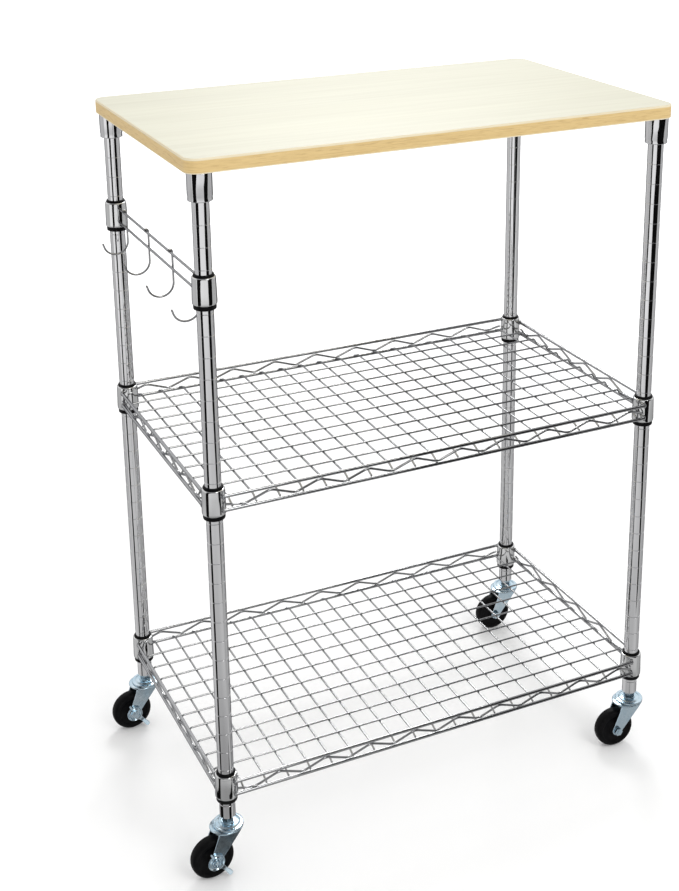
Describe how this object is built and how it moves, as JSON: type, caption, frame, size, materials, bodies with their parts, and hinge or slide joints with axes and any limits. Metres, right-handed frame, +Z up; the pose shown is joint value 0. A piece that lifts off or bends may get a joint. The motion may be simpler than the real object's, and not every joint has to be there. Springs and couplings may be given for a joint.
{
  "type": "kitchen island cart",
  "caption": "Rolling kitchen island cart: laminated top on grooved chrome posts, wire shelves, a side hook rail and swivel casters.",
  "frame": {"origin": "on the floor under the middle of the top", "axes": "+X along the wide side to the right, +Y along the depth to the back, +Z up; the front faces -Y"},
  "size_m": [0.6429, 0.3706, 0.8839],
  "materials": {
    "laminate": "cream woodgrain laminate, satin",
    "edge_band": "tan woodgrain edge band",
    "board": "particle board core, hidden",
    "backing": "resin paper backing sheet",
    "chrome_post": "bright chrome plate",
    "chrome_socket": "bright chrome plate",
    "chrome_collar": "bright chrome plate",
    "chrome_wire": "bright chrome wire",
    "chrome_hook": "bright chrome wire",
    "sleeve_black": "black moulded plastic",
    "insert_zinc": "zinc-plated insert, hidden",
    "zinc": "bluish bright zinc plate",
    "bolt_steel": "bright steel fasteners",
    "ball_steel": "hardened steel balls",
    "wheel_black": "black rubber wheel",
    "bush": "dark nylon bush"
  },
  "bodies": {
    "root": {"tabletop_core": "board", "tabletop_laminate": "laminate", "tabletop_backing": "backing", "tabletop_edge_band": "edge_band", "top_socket_fl": "chrome_socket", "top_socket_fr": "chrome_socket", "top_socket_bl": "chrome_socket", "top_socket_br": "chrome_socket", "socket_screws": "bolt_steel", "post_fl": "chrome_post", "post_fr": "chrome_post", "post_bl": "chrome_post", "post_br": "chrome_post", "post_foot_inserts": "insert_zinc", "upper_shelf_collars": "chrome_collar", "upper_shelf_edge_rods": "chrome_wire", "upper_shelf_truss_wires": "chrome_wire", "upper_shelf_long_wires": "chrome_wire", "upper_shelf_cross_wires": "chrome_wire", "upper_shelf_sleeves": "sleeve_black", "lower_shelf_collars": "chrome_collar", "lower_shelf_edge_rods": "chrome_wire", "lower_shelf_truss_wires": "chrome_wire", "lower_shelf_long_wires": "chrome_wire", "lower_shelf_cross_wires": "chrome_wire", "lower_shelf_sleeves": "sleeve_black", "hook_rail_collars": "chrome_collar", "hook_rail_wires": "chrome_wire", "hook_rail_sleeves": "sleeve_black", "caster_stems": "zinc", "caster_lock_nuts": "zinc", "caster_top_plates": "zinc", "caster_swivel_balls": "ball_steel"},
    "hook_1": {"hook_1": "chrome_hook"},
    "hook_2": {"hook_2": "chrome_hook"},
    "hook_3": {"hook_3": "chrome_hook"},
    "hook_4": {"hook_4": "chrome_hook"},
    "caster_fork_fl": {"fork_fl": "zinc", "axle_bolt_fl": "bolt_steel", "axle_nut_fl": "bolt_steel"},
    "caster_wheel_fl": {"wheel_fl": "wheel_black", "hub_bush_fl": "bush"},
    "brake_fl": {"brake_lever_fl": "zinc"},
    "caster_fork_fr": {"fork_fr": "zinc", "axle_bolt_fr": "bolt_steel", "axle_nut_fr": "bolt_steel"},
    "caster_wheel_fr": {"wheel_fr": "wheel_black", "hub_bush_fr": "bush"},
    "caster_fork_bl": {"fork_bl": "zinc", "axle_bolt_bl": "bolt_steel", "axle_nut_bl": "bolt_steel"},
    "caster_wheel_bl": {"wheel_bl": "wheel_black", "hub_bush_bl": "bush"},
    "brake_bl": {"brake_lever_bl": "zinc"},
    "caster_fork_br": {"fork_br": "zinc", "axle_bolt_br": "bolt_steel", "axle_nut_br": "bolt_steel"},
    "caster_wheel_br": {"wheel_br": "wheel_black", "hub_bush_br": "bush"}
  },
  "joints": [
    {"name": "hook_1_slide", "type": "slide", "parent": "root", "child": "hook_1", "axis": [0, 1, 0], "range_m": [-0.038, 0.018]},
    {"name": "hook_2_slide", "type": "slide", "parent": "root", "child": "hook_2", "axis": [0, 1, 0], "range_m": [-0.038, 0.038]},
    {"name": "hook_3_slide", "type": "slide", "parent": "root", "child": "hook_3", "axis": [0, 1, 0], "range_m": [-0.038, 0.038]},
    {"name": "hook_4_slide", "type": "slide", "parent": "root", "child": "hook_4", "axis": [0, 1, 0], "range_m": [-0.008, 0.038]},
    {"name": "swivel_fl", "type": "hinge", "parent": "root", "child": "caster_fork_fl", "pos_m": [-0.2876, -0.16645, 0.06], "axis": [0, 0, 1], "continuous": true},
    {"name": "roll_fl", "type": "hinge", "parent": "caster_fork_fl", "child": "caster_wheel_fl", "pos_m": [-0.31005, -0.16802, 0.0267], "axis": [0.0698, -0.9976, 0], "continuous": true},
    {"name": "brake_fl_press", "type": "hinge", "parent": "caster_fork_fl", "child": "brake_fl", "pos_m": [-0.31005, -0.16802, 0.0267], "axis": [0.0698, -0.9976, 0], "range_deg": [-12, 0]},
    {"name": "swivel_fr", "type": "hinge", "parent": "root", "child": "caster_fork_fr", "pos_m": [0.2876, -0.16645, 0.06], "axis": [0, 0, 1], "continuous": true},
    {"name": "roll_fr", "type": "hinge", "parent": "caster_fork_fr", "child": "caster_wheel_fr", "pos_m": [0.26515, -0.16488, 0.0267], "axis": [-0.0698, -0.9976, 0], "continuous": true},
    {"name": "swivel_bl", "type": "hinge", "parent": "root", "child": "caster_fork_bl", "pos_m": [-0.2876, 0.16645, 0.06], "axis": [0, 0, 1], "continuous": true},
    {"name": "roll_bl", "type": "hinge", "parent": "caster_fork_bl", "child": "caster_wheel_bl", "pos_m": [-0.31007, 0.16527, 0.0267], "axis": [0.0523, -0.9986, 0], "continuous": true},
    {"name": "brake_bl_press", "type": "hinge", "parent": "caster_fork_bl", "child": "brake_bl", "pos_m": [-0.31007, 0.16527, 0.0267], "axis": [0.0523, -0.9986, 0], "range_deg": [-12, 0]},
    {"name": "swivel_br", "type": "hinge", "parent": "root", "child": "caster_fork_br", "pos_m": [0.2876, 0.16645, 0.06], "axis": [0, 0, 1], "continuous": true},
    {"name": "roll_br", "type": "hinge", "parent": "caster_fork_br", "child": "caster_wheel_br", "pos_m": [0.2651, 0.16645, 0.0267], "axis": [0, -1, 0], "continuous": true}
  ]
}
